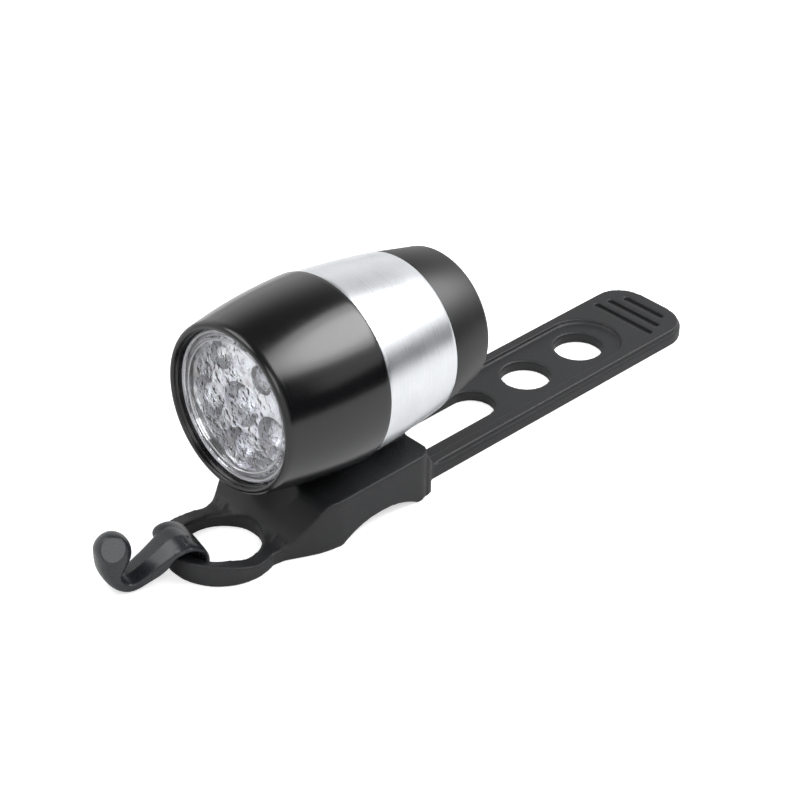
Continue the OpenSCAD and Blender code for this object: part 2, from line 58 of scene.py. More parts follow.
camera_roll = math.radians(0.713)
aim = (looked_at - camera.location).to_track_quat("-Z", "Y") @ Quaternion((0, 0, 1), camera_roll)
camera.rotation_euler = aim.to_euler()
scene.collection.objects.link(camera)
scene.camera = camera


# Strap: saddle block, loop and tongue in one moulding of black rubber. The block carries the lamp on a
# hollowed pad, its underside fits a handlebar, and the slotted tongue wraps the bar up to the hook.
def slab(outline, low, high):
    """A sheet cut to an outline of few points and drawn to its thickness along Z."""
    bm = bmesh.new()
    sheet = bm.faces.new([bm.verts.new((x * mm, y * mm, low * mm)) for x, y in outline])
    drawn = bmesh.ops.extrude_face_region(bm, geom=[sheet])["geom"]
    top = [v for v in drawn if isinstance(v, bmesh.types.BMVert)]
    bmesh.ops.translate(bm, verts=top, vec=(0, 0, (high - low) * mm))
    bmesh.ops.recalc_face_normals(bm, faces=bm.faces)
    return bm


def drum(radius, low, high, x=0, y=0):
    """A round bar along Z."""
    bm = bmesh.new()
    place = Matrix.Translation(Vector((x, y, (low + high) / 2)) * mm)
    bmesh.ops.create_cone(
        bm, cap_ends=True, segments=96, radius1=radius * mm, radius2=radius * mm,
        depth=(high - low) * mm, matrix=place)
    return bm


def moved(bm, matrix):
    bmesh.ops.transform(bm, matrix=matrix, verts=bm.verts)
    return bm


def rounded(bm, radius, picked=lambda x, y: True):
    """Rounds the upright edges of a slab that stand at the picked places."""
    upright = []
    for edge in bm.edges:
        a, b = (v.co / mm for v in edge.verts)
        if (a - b).xy.length < 0.001 and picked(a.x, a.y):
            upright.append(edge)
    bmesh.ops.bevel(
        bm, geom=upright, offset=radius * mm, offset_type="OFFSET", segments=8, profile=0.5,
        affect="EDGES", material=-1)
    return bm


def blank(bm, name="tool"):
    mesh = bpy.data.meshes.new(name)
    bm.to_mesh(mesh)
    bm.free()
    obj = bpy.data.objects.new(name, mesh)
    scene.collection.objects.link(obj)
    return obj


def settle(obj):
    """Makes what the modifiers show the object's own mesh."""
    shown = obj.evaluated_get(bpy.context.evaluated_depsgraph_get())
    made = bpy.data.meshes.new_from_object(shown)
    obj.modifiers.clear()
    before, obj.data = obj.data, made
    bpy.data.meshes.remove(before)


def shape(stock, bm, operation="DIFFERENCE"):
    """Cuts a shape out of a blank, joins it on, or keeps what the two share."""
    tool = blank(bm)
    step = stock.modifiers.new("shape", "BOOLEAN")
    step.operation, step.object, step.solver = operation, tool, "EXACT"
    settle(stock)
    bpy.data.objects.remove(tool)


def gather(pieces):
    """Puts the meshes of all the pieces into the first one and removes the others."""
    whole = bmesh.new()
    for piece in pieces:
        whole.from_mesh(piece.data)
    whole.to_mesh(pieces[0].data)
    whole.free()
    for piece in pieces[1:]:
        bpy.data.objects.remove(piece)


def shade(obj, sharp=None):
    """Shades a piece smooth, apart from edges that turn by more than the sharp angle."""
    for face in obj.data.polygons:
        face.use_smooth = True
    if sharp:
        obj.data.set_sharp_from_angle(angle=math.radians(sharp))


def soften(obj, voxel, passes):
    """Joins what overlaps into one skin and rounds its edges, as a mould does."""
    skin = obj.modifiers.new("skin", "REMESH")
    skin.mode, skin.voxel_size, skin.use_smooth_shade = "VOXEL", voxel * mm, True
    soft = obj.modifiers.new("soft", "SMOOTH")
    soft.factor, soft.iterations = 0.5, passes
    settle(obj)
    shade(obj)


def linear(code):
    """Linear colour of an sRGB hex value."""
    parts = [int(code[i:i + 2], 16) / 255 for i in (1, 3, 5)]
    return tuple(c / 12.92 if c <= 0.04045 else ((c + 0.055) / 1.055) ** 2.4 for c in parts) + (1,)


def add_node(tree, kind, settings={}, links={}):
    """Adds a node, sets its properties or sockets, and links sources to its sockets."""
    node = tree.nodes.new("ShaderNode" + kind)
    for key, value in settings.items():
        if isinstance(key, str) and hasattr(node, key):
            setattr(node, key, value)
        else:
            node.inputs[key].default_value = value
    for key, source in links.items():
        tree.links.new(source, node.inputs[key])
    return node


def new_material(name):
    material = bpy.data.materials.new(name)
    material.use_nodes = True
    material.node_tree.nodes.clear()
    return material, material.node_tree


def coat(tree, share, deep, pale, rough, grain, height, sockets):
    """Ends a material: colour and gloss follow one pattern, and the relief follows its fine grain."""
    spread = add_node(tree, "MapRange", {"From Min": 0.3, "From Max": 0.7}, {"Value": share})
    tint = add_node(tree, "ValToRGB", {}, {"Fac": spread.outputs["Result"]})
    tint.color_ramp.elements[0].color = linear(deep)
    tint.color_ramp.elements[1].color = linear(pale)
    gloss = add_node(
        tree, "MapRange", {"To Min": rough[0], "To Max": rough[1]}, {"Value": spread.outputs["Result"]})
    relief = add_node(tree, "Bump", {"Strength": 1.0, "Distance": height * mm}, {"Height": grain})
    named = {key.replace("_", " "): value for key, value in sockets.items()}
    shader = add_node(
        tree, "BsdfPrincipled", named,
        {"Base Color": tint.outputs["Color"], "Roughness": gloss.outputs["Result"],
         "Normal": relief.outputs["Normal"]})
    add_node(tree, "OutputMaterial", {}, {"Surface": shader.outputs["BSDF"]})


def grained(name, deep, pale, rough, grit, height, cloud, **sockets):
    """Moulded or plated surface: a fine grit in its colour and relief, and broad cloudy rubbing, both in
    millimetres. The grit is drawn coarser than a mould's or a plating's own, so that it shows."""
    material, tree = new_material(name)
    place = add_node(tree, "TexCoord").outputs["Object"]
    fine = add_node(tree, "TexNoise", {"Scale": 1 / (grit * mm), "Detail": 2.0}, {"Vector": place})
    broad = add_node(tree, "TexNoise", {"Scale": 1 / (cloud * mm), "Detail": 4.0}, {"Vector": place})
    both = add_node(
        tree, "Mix", {"data_type": "FLOAT", "Factor": 0.6},
        {"A": fine.outputs["Fac"], "B": broad.outputs["Fac"]})
    coat(tree, both.outputs["Result"], deep, pale, rough, fine.outputs["Fac"], height, sockets)
    return material


def dress(obj, slot, material, *replaced):
    """Gives a finished piece its material and the CAD nodes it stands for. The slot is not used."""
    obj.data.materials.clear()
    obj.data.materials.append(material)
    if replaced:
        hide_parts(*replaced)


table_z = -2.6
lamp_height = 23.1937
lamp_tilt = 3
lamp_axis = (
    Matrix.Translation((0, 0, lamp_height * mm))
    @ Matrix.Rotation(math.radians(90 - lamp_tilt), 4, "Y"))
forward = lamp_axis.to_3x3() @ Vector((0, 0, 1))
lip_r, lip_x, seam_r, seam_x, end_r, end_x = 16.5, 1.6, 14.35, -15.1, 12.6, -24.8
band_r = 16.2


def turn(section, steps=160, closed=True):
    """Spins a section of (radius, place along the lamp's axis) points and lays it on that axis."""
    bm = bmesh.new()
    ring = [bm.verts.new((r * mm, 0, x * mm)) for r, x in section]
    pairs = list(zip(ring, ring[1:] + ring[:1] if closed else ring[1:]))
    edges = [bm.edges.new(pair) for pair in pairs]
    bmesh.ops.spin(
        bm, geom=ring + edges, cent=(0, 0, 0), axis=(0, 0, 1), angle=2 * math.pi, steps=steps,
        use_merge=True)
    bmesh.ops.remove_doubles(bm, verts=bm.verts, dist=0.0005 * mm)
    bmesh.ops.recalc_face_normals(bm, faces=bm.faces)
    return moved(bm, lamp_axis)


def band_radius(x):
    """Radius of the band, which narrows faster towards the rear shell."""
    u = (lip_x - x) / (lip_x - seam_x)
    straight, bowed = 0.6, 0.4
    return band_r - (band_r - seam_r) * (straight * u + bowed * u * u)


def arc(x, y, radius, start, stop, steps):
    """Points along an arc between two angles in degrees."""
    turns = [math.radians(start + (stop - start) * i / steps) for i in range(steps + 1)]
    return [(x + radius * math.cos(a), y + radius * math.sin(a)) for a in turns]


upright_side = Matrix.Rotation(math.radians(90), 4, "X")
past_sides, past_strap = 20, 5
block_rear, block_half, block_top, block_round = -12.1, 12.5, 6.5, 3.0
taper_x, neck_x, neck_half = 11.3, 18.4, 9.1
loop_x, loop_r, loop_hole_r, loop_front, loop_half = 24.2, 9.5, 6.65, 35.0, 8.2
bar_top, bar_rear, side_rear = 1.6, 30.4, block_rear - 3
saddle_plan = [
    (block_rear, -block_half), (taper_x, -block_half), (neck_x, -neck_half), (loop_x, -loop_half),
    (loop_x, loop_half), (neck_x, neck_half), (taper_x, block_half), (block_rear, block_half)]
saddle_side = [
    (side_rear, table_z), (loop_front, table_z), (loop_front, bar_top), (bar_rear, bar_top),
    (loop_x, 0.05), (19.6, -0.05), (18.2, 0.1), (17.4, 0.55), (12.3, 5.65), (11.4, 6.3),
    (10.2, block_top), (side_rear, block_top)]
block_end = (taper_x + neck_x) / 2
block = rounded(slab(saddle_plan, table_z, block_top), block_round, lambda x, y: x < block_end)
strap = blank(block, "rubber_strap")
shape(strap, drum(loop_r, table_z, block_top, loop_x), "UNION")
shape(strap, moved(slab(saddle_side, -past_sides, past_sides), upright_side), "INTERSECT")
seat_r = 15.6
seat_place = Matrix.Translation((0, 0, -seat_r * mm)) @ upright_side
shape(strap, moved(drum(seat_r, -past_sides, past_sides), seat_place))
ramp_hollow_r, ramp_hollow_x, ramp_hollow_z = 20, 25.3, 19.8
hollow = bmesh.new()
bmesh.ops.create_uvsphere(hollow, u_segments=96, v_segments=48, radius=ramp_hollow_r * mm)
shape(strap, moved(hollow, Matrix.Translation(Vector((ramp_hollow_x, 0, ramp_hollow_z)) * mm)))
shape(strap, drum(loop_hole_r, -past_strap, past_strap, loop_x))
rear_hole_x, rear_hole_r = 23.3, 6.0
shape(strap, drum(rear_hole_r, -past_strap, past_strap, rear_hole_x))

pad_half, pad_front, pad_sink, pad_top, lip_room = 5.5, 0.6, 1, 12, 0.3
pad_plan = [
    (block_rear, -pad_half), (pad_front, -pad_half), (pad_front, pad_half), (block_rear, pad_half)]
pad = blank(slab(pad_plan, block_top - pad_sink, pad_top), "pad")
barrel = [(0, end_x), (end_r, end_x), (seam_r, seam_x)]
barrel += [(band_radius(x), x) for x in (-12.5, -10, -7.5, -5, -2.5, 0)]
barrel += [(lip_r + lip_room, lip_x), (0, lip_x)]
shape(pad, turn(barrel, closed=False))

screw_place, screw_hole_r, head_hole_r = -6, 1.8, 3.55
hole_start, washer_seat, hole_stop = 10, 19.99, 40
screw_axis = (
    lamp_axis @ Matrix.Translation((0, 0, screw_place * mm)) @ Matrix.Rotation(math.radians(90), 4, "Y"))
for piece in (strap, pad):
    shape(piece, moved(drum(screw_hole_r, hole_start, hole_stop), screw_axis))
shape(strap, moved(drum(head_hole_r, washer_seat, hole_stop), screw_axis))

tongue_start, tongue_end, tongue_half, tongue_top, tip_round = block_rear + 1, -82.3, 9.35, 0.3, 6.0
ledge_w, ledge_z, ledge_sink = 0.45, -0.5, 0.5
slot_half, slot_round_x, hole_r, near_hole_x, far_hole_x = 4.1, -33.7, 4.45, -47.35, -61.1


def tongue_plan(inset):
    """Outline of the tongue, drawn in from its edge by the inset."""
    half, end = tongue_half - inset, tongue_end + inset
    return [(tongue_start, -half), (tongue_start, half), (end, half), (end, -half)]


def at_tip(x, y):
    return x < far_hole_x


tongue = blank(rounded(slab(tongue_plan(0), table_z, ledge_z), tip_round, at_tip), "tongue")
raised = slab(tongue_plan(ledge_w), ledge_z - ledge_sink, tongue_top)
shape(tongue, rounded(raised, tip_round - ledge_w, at_tip), "UNION")
slot_plan = [
    (slot_round_x, -slot_half), (block_rear, -slot_half), (block_rear, slot_half), (slot_round_x, slot_half)]
shape(tongue, slab(slot_plan, -past_strap, past_strap))
shape(tongue, drum(slot_half, -past_strap, past_strap, slot_round_x))
for x in (near_hole_x, far_hole_x):
    shape(tongue, drum(hole_r, -past_strap, past_strap, x))
recess_half, recess_z, recess_start, recess_end, above_tongue = 7.0, -0.4, -16.5, -62.3, 3
recess_plan = [
    (recess_end, -recess_half), (recess_start, -recess_half),
    (recess_start, recess_half), (recess_end, recess_half)]
shape(tongue, slab(recess_plan, recess_z, above_tongue))
shape(tongue, drum(recess_half, recess_z, above_tongue, recess_end))
groove_half_w, groove_z, groove_round = 0.6, -0.7, 0.98
for x, half_len in ((-78.9, 4.7), (-76.1, 6.1), (-73.3, 6.9)):
    groove_plan = [
        (x - groove_half_w, -half_len), (x + groove_half_w, -half_len),
        (x + groove_half_w, half_len), (x - groove_half_w, half_len)]
    shape(tongue, rounded(slab(groove_plan, groove_z, above_tongue), groove_half_w * groove_round))

root_front, root_rear = -11, -17.6
root_plan = [
    (root_front, slot_half), (root_rear, slot_half), (root_rear, tongue_half), (-15.0, 9.4), (-13.4, 9.8),
    (-12.5, 10.6), (-12.15, 11.9), (root_front, 12.2)]
root_side = [
    (root_front, table_z), (root_front, 5.4), (-12.0, 4.7), (-12.8, 3.2), (-13.8, 1.7), (-15.0, 0.6),
    (-16.2, -0.1), (root_rear, -0.6), (root_rear, table_z)]
rib_half_w, rib_half_h, rib_z, rib_fall = 0.4, 0.5, 0.16, 25
moulding = [strap, pad, tongue]
for side in (1, -1):
    root = blank(slab([(x, y * side) for x, y in root_plan], table_z, block_top))
    shape(root, moved(slab(root_side, -past_sides, past_sides), upright_side), "INTERSECT")
    moulding.append(root)
    for x, y, half_len in ((17.9, 6.2, 1.3), (17.6, 7.3, 1.3), (17.8, 8.4, 1.5)):
        rib = bmesh.new()
        bmesh.ops.create_icosphere(rib, subdivisions=3, radius=mm)
        bmesh.ops.scale(rib, vec=(half_len, rib_half_w, rib_half_h), verts=rib.verts)
        fall = Matrix.Rotation(math.radians(rib_fall), 4, "Y")
        moulding.append(blank(moved(rib, Matrix.Translation(Vector((x, y * side, rib_z)) * mm) @ fall)))
gather(moulding)
soften(strap, voxel=0.27, passes=3)
saddle = strap.vertex_groups.new(name="saddle")
worn_from, worn_over = -16, 3
for v in strap.data.vertices:
    share = min(1, max(0, (v.co.x / mm - worn_from) / worn_over))
    if share > 0:
        saddle.add([v.index], share, "REPLACE")
worn = strap.modifiers.new("worn", "SMOOTH")
worn.factor, worn.iterations, worn.vertex_group = 0.5, 8, "saddle"
settle(strap)
shade(strap)
# Moulded EPDM rubber: even dull charcoal with a fine eroded-mould grit and pale rubbing on broad patches.
strap_rubber = grained(
    "moulded_epdm_rubber", "#090a0c", "#131418", (0.46, 0.62), grit=0.35, height=0.03, cloud=9, IOR=1.5)
dress(strap, "strap_rubber", strap_rubber, "strap_saddle", "strap_tongue")
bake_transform(strap)


# Hook: a stiff moulded plastic S-hook. Its eye sits over the loop's front bar and slides and swings there;
# once the tongue is round the handlebar, one of its holes is pulled over the hook's round lobe.
def section(x, y, square, ridge):
    """A point of a unit circle drawn out to a squarer section with a roof along its upper side."""
    x = math.copysign(abs(x) ** square, x)
    y = math.copysign(abs(y) ** square, y)
    crown, far_slope = 0.05, 0.5
    if y > 0:
        y *= 1 - ridge * abs(x - crown) * (1 if x > crown else far_slope)
    return Vector((x, y, 0))


crest_ways = [Vector((0, 1)), Vector((0.71, 0.71)), Vector((-0.71, 0.71))]
sharp_ridge = 0.2


def loft(stations):
    """Skins the hook along a row of stations: along, up, half thickness, half width, place across,
    squareness and ridge. The ridge and the two upper corners stay sharp where the ridge is strong."""
    bm = bmesh.new()
    crease = bm.edges.layers.float.new("crease_edge")
    rings, crests = [], []
    for i, (u, w, half_t, half_w, across, square, ridge) in enumerate(stations):
        before, after = stations[max(i - 1, 0)], stations[min(i + 1, len(stations) - 1)]
        along = Vector((after[0] - before[0], 0, after[1] - before[1])).normalized()
        out = Vector((-along.z, 0, along.x))
        ring = bmesh.ops.create_circle(bm, segments=48, radius=1)["verts"]
        crests.append([min(ring, key=lambda v: (v.co.xy - way).length) for way in crest_ways])
        for v in ring:
            x, y, _ = section(v.co.x, v.co.y, square, ridge)
            v.co = (Vector((u, across, w)) + Vector((0, half_w, 0)) * x + out * half_t * y) * mm
        rings.append(ring)
    loops = [{e for v in ring for e in v.link_edges} for ring in rings]
    for one, other in zip(loops, loops[1:]):
        bmesh.ops.bridge_loops(bm, edges=list(one | other))
    for one, other, station in zip(crests, crests[1:], stations):
        for a, b in zip(one, other):
            edge = bm.edges.get((a, b))
            if edge and station[-1] > sharp_ridge:
                edge[crease] = 1
    for loop in (loops[0], loops[-1]):
        bmesh.ops.holes_fill(bm, edges=list(loop), sides=0)
    bmesh.ops.recalc_face_normals(bm, faces=bm.faces)
    obj = blank(bm, "strap_hook")
    fair = obj.modifiers.new("fair", "SUBSURF")
    fair.levels = fair.render_levels = 2
    settle(obj)
    return obj


bar_centre, hook_turn = Vector((32.1898, -1.8446, -0.5)), -13
hook_place = Matrix.Translation(bar_centre * mm) @ Matrix.Rotation(math.radians(hook_turn), 4, "Z")
eye_r, eye_half_t, eye_square = 3.68, 0.92, 0.4
eye_stations = [(-3.7, -2.0, 0.5, 3.0, 0, eye_square, 0), (-3.7, -1.7, eye_half_t, 3.4, 0, eye_square, 0)]
for angle, half_w in (
        (185, 3.7), (165, 4.1), (145, 4.4), (125, 4.4), (105, 4.4), (90, 4.4), (75, 4.4), (60, 4.1)):
    u, w = eye_r * math.cos(math.radians(angle)), eye_r * math.sin(math.radians(angle))
    eye_stations.append((u, w, eye_half_t, half_w, 0, eye_square, 0))
eye_stations.append((2.2, 2.5, 0.4, 3.2, 0, eye_square, 0))
plate_stations = [
    (-2.5, 2.75, 0.6, 2.9, 0.7, 0.3, 0.3), (-1.3, 3.6, 0.95, 3.3, 0.75, 0.3, 0.45),
    (0, 3.97, 1.0, 3.45, 0.75, 0.3, 0.45), (1.2, 3.65, 1.0, 3.4, 0.75, 0.3, 0.45),
    (2.4, 2.95, 1.0, 3.25, 0.75, 0.3, 0.45), (3.55, 2.08, 1.1, 3.1, 0.75, 0.3, 0.4),
    (4.9, 1.08, 1.2, 2.95, 0.65, 0.3, 0.4), (6.3, 0.35, 1.04, 2.8, 0.5, 0.3, 0.45),
    (7.4, -0.45, 1.0, 2.65, 0.3, 0.35, 0.4), (8.45, -1.02, 1.0, 2.6, 0.1, 0.4, 0.3),
    (9.65, -1.05, 1.0, 2.6, 0, 0.5, 0.15), (10.95, -0.15, 1.15, 2.65, -0.1, 0.6, 0.1),
    (11.7, 1.15, 1.45, 2.8, -0.2, 0.7, 0), (11.7, 2.5, 1.95, 3.0, -0.3, 0.8, 0),
    (11.15, 3.9, 2.7, 3.2, -0.4, 0.9, 0), (10.8, 5.2, 3.05, 3.25, -0.4, 0.9, 0),
    (10.7, 6.5, 2.8, 3.0, -0.4, 0.9, 0), (10.6, 7.6, 2.05, 2.3, -0.4, 1, 0),
    (10.55, 8.3, 0.9, 1.1, -0.4, 1, 0)]
hook = loft(plate_stations)
lobe_centre, facet, facet_depth = Vector((10.8, -0.4, 5.2)), Vector((0.28, 0.69, 0.66)).normalized(), 2.4
facet_place = Matrix.Translation((lobe_centre + facet * facet_depth) * mm)
facet_place = facet_place @ facet.to_track_quat("Z", "Y").to_matrix().to_4x4()
facet_plan, facet_cut = [(-8, -8), (8, -8), (8, 8), (-8, 8)], 6
shape(hook, moved(slab(facet_plan, 0, facet_cut), facet_place))
eye = loft(eye_stations)
# The eye's bore widens towards its ends, because the loop's bar curves back there as the hook swings.
bar_room, room_end = [(2.7, 0), (2.8, 2), (3.05, 3), (3.5, 4), (3.95, 4.8)], 4.8
room_section = [(0, -room_end)] + [(r, -v) for r, v in reversed(bar_room)] + bar_room[1:] + [(0, room_end)]
for piece in (hook, eye):
    bore = turn(room_section, steps=64, closed=False)
    shape(piece, moved(bore, upright_side @ lamp_axis.inverted()))
gather([hook, eye])
hook.data.transform(hook_place)
soften(hook, voxel=0.1, passes=4)
# Injection-moulded acetal: hard, dark grey and half glossy, with a faint skin texture.
hook_plastic = grained(
    "moulded_acetal", "#1c1e21", "#292b2f", (0.24, 0.32), grit=0.3, height=0.003, cloud=4, IOR=1.5)
dress(hook, "hook_plastic", hook_plastic, "hook")
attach(hook, "hook")


# Saddle screw and washer: plated steel, pushed up through the seat into the band, so that the rubber is
# clamped against the barrel. Only its socket head shows, deep in the seat.
# Zinc-plated steel: a pale grey metal with a half-dull sheen.
screw_steel = grained(
    "zinc_plated_steel", "#8f9194", "#b4b7ba", (0.25, 0.4), grit=0.2, height=0.004, cloud=2, Metallic=1.0)


def paint(node, material):
    """Gives a CAD node that keeps its shape a better material."""
    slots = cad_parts[node].data.materials
    slots.clear()
    slots.append(material)


for node in ("saddle_screw", "screw_washer"):
    paint(node, screw_steel)


# Body band: turned aluminium left bare and polished along the lathe's marks. Its front spigot carries the
# thread for the front shell and the sealing ring, and the rear shell is pressed on its rear spigot.
def lathe_turned(name, deep, pale, rough, mark, height, **sockets):
    """Turned metal: fine rings round the lamp's axis in colour, gloss and relief, a mark of so many
    millimetres apart. They are drawn coarser than a lathe's own marks, so that they show."""
    material, tree = new_material(name)
    place = add_node(tree, "TexCoord").outputs["Object"]
    along = add_node(tree, "VectorMath", {"operation": "DOT_PRODUCT", 1: forward}, {0: place})
    marks = add_node(
        tree, "TexNoise", {"noise_dimensions": "1D", "Scale": 1 / (mark * mm), "Detail": 2.0},
        {"W": along.outputs["Value"]})
    cloud_size = 5
    cloud = add_node(tree, "TexNoise", {"Scale": 1 / (cloud_size * mm), "Detail": 3.0}, {"Vector": place})
    both = add_node(
        tree, "Mix", {"data_type": "FLOAT", "Factor": 0.35},
        {"A": marks.outputs["Fac"], "B": cloud.outputs["Fac"]})
    coat(tree, both.outputs["Result"], deep, pale, rough, marks.outputs["Fac"], height, sockets)
    return material


def turned_piece(name, section, edge=0.12):
    """A turned piece with its sharp edges broken, as a deburred lathe part has."""
    obj = blank(turn(section), name)
    broken = obj.modifiers.new("broken_edges", "BEVEL")
    broken.width, broken.segments, broken.limit_method = edge * mm, 2, "ANGLE"
    broken.angle_limit = math.radians(25)
    settle(obj)
    shade(obj, sharp=40)
    return obj


curve_steps = 24
spigot_r, spigot_end, band_bore_r, tail_spigot_r, tail_bore_r = 14.45, 7.4, 12.25, 12.9, 11.6
gland_r, gland_x, gland_end, tail_spigot_x = 13.4, 2.1, 3.4, -18.1
band_outer = [
    (band_radius(x), x)
    for x in (seam_x + (lip_x - seam_x) * i / curve_steps for i in range(curve_steps + 1))]
thread_root_r, thread_x, thread_step, thread_points = 14.05, 3.7, 0.5, 7
thread = [
    (spigot_r if i % 2 == 0 else thread_root_r, thread_x + thread_step * i) for i in range(thread_points)]
band_section = band_outer + [
    (spigot_r, lip_x), (spigot_r, gland_x), (gland_r, gland_x), (gland_r, gland_end), (spigot_r, gland_end),
    *thread, (thread_root_r, spigot_end), (band_bore_r, spigot_end), (band_bore_r, seam_x),
    (tail_bore_r, seam_x), (tail_bore_r, tail_spigot_x), (tail_spigot_r, tail_spigot_x),
    (tail_spigot_r, seam_x)]
# Bare turned aluminium: bright and cool white, with rings that spread each reflection along the barrel.
bare_aluminium = lathe_turned(
    "turned_bare_aluminium", "#cbced2", "#e5e7ea", (0.26, 0.36), mark=0.14, height=0.004, Metallic=1.0)
band = turned_piece("aluminium_band", band_section)
dress(band, "bare_aluminium", bare_aluminium, "body_band")
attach(band, "base")

# Sealing ring: a nitrile rubber cord ring in the spigot's groove, greased when it is fitted.
# Nitrile rubber: black, smooth and slightly greasy.
seal_rubber = grained(
    "nitrile_rubber", "#0d0d0e", "#18181a", (0.35, 0.5), grit=0.25, height=0.01, cloud=3, IOR=1.52)
paint("o_ring", seal_rubber)

# Rear shell: a turned aluminium cap, bead-blasted and dyed black, pressed on the band's rear spigot.
# Its end has a soft round and a hole for the rubber button.
button_r, tail_inner_x, mouth_x, mouth_r = 5.2, -23.0, -15.15, 12.95
tail_round, button_play, seam_step, press_len = 1.2, 0.1, 0.05, 3
rear_section = (
    [(button_r + button_play, end_x)]
    + arc(end_r - tail_round, end_x + tail_round, tail_round, -90, 0, steps=10)
    + [(seam_r - seam_step, mouth_x), (mouth_r, mouth_x), (mouth_r, mouth_x - press_len),
       (tail_bore_r, mouth_x - press_len), (tail_bore_r, tail_inner_x),
       (button_r + button_play, tail_inner_x)])
# Blasted and dyed aluminium: black with wide, soft highlights that fade round the barrel.
satin_black = lathe_turned(
    "satin_black_anodised_aluminium", "#0b0b0c", "#121214", (0.36, 0.44), mark=0.2, height=0.003, IOR=1.5)
rear = turned_piece("rear_shell_cap", rear_section)
dress(rear, "satin_black_anodised", satin_black, "rear_shell")
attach(rear, "base")

# Button: a soft silicone cap with a grooved face, held by its skirt behind the end wall. Its pin presses the
# switch on the round board inside, and a ring holds the skirt.
skirt_x, skirt_r, skirt_t, pin_r, pin_x = -22.85, 6.4, 1, 1.6, -20.85
face_x, face_round, face_round_x = -25.6, 0.6, -25.0
button_section = (
    [(0, face_x), (3.4, face_x), (3.75, -25.45), (4.1, face_x)]
    + arc(button_r - face_round, face_round_x, face_round, -90, 0, steps=6)
    + [(button_r, skirt_x), (skirt_r, skirt_x), (skirt_r, skirt_x + skirt_t), (pin_r, skirt_x + skirt_t),
       (pin_r, pin_x), (0, pin_x)])
button = blank(turn(button_section, closed=False), "rubber_button")
shade(button, sharp=40)
# Silicone: dark grey and dull, with hardly a highlight.
button_rubber = grained(
    "moulded_silicone", "#141416", "#232326", (0.5, 0.62), grit=0.3, height=0.02, cloud=4, IOR=1.45)
dress(button, "button_rubber", button_rubber, "push_button")
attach(button, "button")
# Moulded nylon: plain black with a low sheen.
switch_plastic = grained(
    "moulded_black_nylon", "#141414", "#202021", (0.35, 0.5), grit=0.3, height=0.01, cloud=3, IOR=1.53)
# Solder mask over glass epoxy: glossy green, slightly mottled.
circuit_board = grained(
    "solder_masked_glass_epoxy", "#123f24", "#2a6a41", (0.25, 0.4), grit=0.4, height=0.01, cloud=2, IOR=1.55)
paint("switch_board", circuit_board)
paint("switch_body", switch_plastic)
paint("boot_ring", screw_steel)

# Battery carrier: a moulded black cup that holds two coin cells on one another, with a contact hole in its
# floor. It slides out with the front shell when that is unscrewed.
# Moulded ABS: dull black with a fine mould grain.
carrier_plastic = grained(
    "moulded_black_abs", "#161617", "#232325", (0.4, 0.55), grit=0.35, height=0.015, cloud=4, IOR=1.53)
# Nickel-plated steel: a bright grey shine, rubbed dull in patches.
cell_steel = grained(
    "nickel_plated_steel", "#a9abab", "#cfd1d1", (0.16, 0.3), grit=0.25, height=0.003, cloud=3, Metallic=1.0)
paint("battery_carrier", carrier_plastic)
for node in ("cell_front", "cell_rear"):
    paint(node, cell_steel)

# Diode board: a round white board behind the reflector, with a turned brass contact on its rear face that
# meets the front cell.
# Turned brass: a yellow metal with a soft shine.
contact_brass = grained(
    "turned_brass", "#8a6a2c", "#c09a4a", (0.2, 0.35), grit=0.2, height=0.003, cloud=2, Metallic=1.0)
# White solder mask: pale and half glossy, so it throws stray light forward.
white_board = grained(
    "white_solder_mask", "#c9ccce", "#e9ebec", (0.3, 0.45), grit=0.4, height=0.01, cloud=2, IOR=1.55)
paint("led_board", white_board)
paint("board_contact", contact_brass)

# Diodes: six clear five-millimetre light-emitting diodes, one in the middle and five on a ring. Each is cast
# in epoxy round a silver-plated lead frame, whose dish shows enlarged through the round tip.
# Cast epoxy: water clear with slow waves in its skin, which bend what is seen through it.
diode_resin, tree = new_material("cast_clear_epoxy")
wave_size, wave_height = 1.6, 0.12
place = add_node(tree, "TexCoord").outputs["Object"]
flow = add_node(tree, "TexNoise", {"Scale": 1 / (wave_size * mm), "Detail": 2.0}, {"Vector": place})
gloss = add_node(tree, "MapRange", {"To Min": 0.0, "To Max": 0.12}, {"Value": flow.outputs["Fac"]})
relief = add_node(
    tree, "Bump", {"Strength": 1.0, "Distance": wave_height * mm}, {"Height": flow.outputs["Fac"]})
shader = add_node(
    tree, "BsdfPrincipled",
    {"Base Color": linear("#fafcff"), "Transmission Weight": 1.0, "IOR": 1.54},
    {"Roughness": gloss.outputs["Result"], "Normal": relief.outputs["Normal"]})
add_node(tree, "OutputMaterial", {}, {"Surface": shader.outputs["BSDF"]})


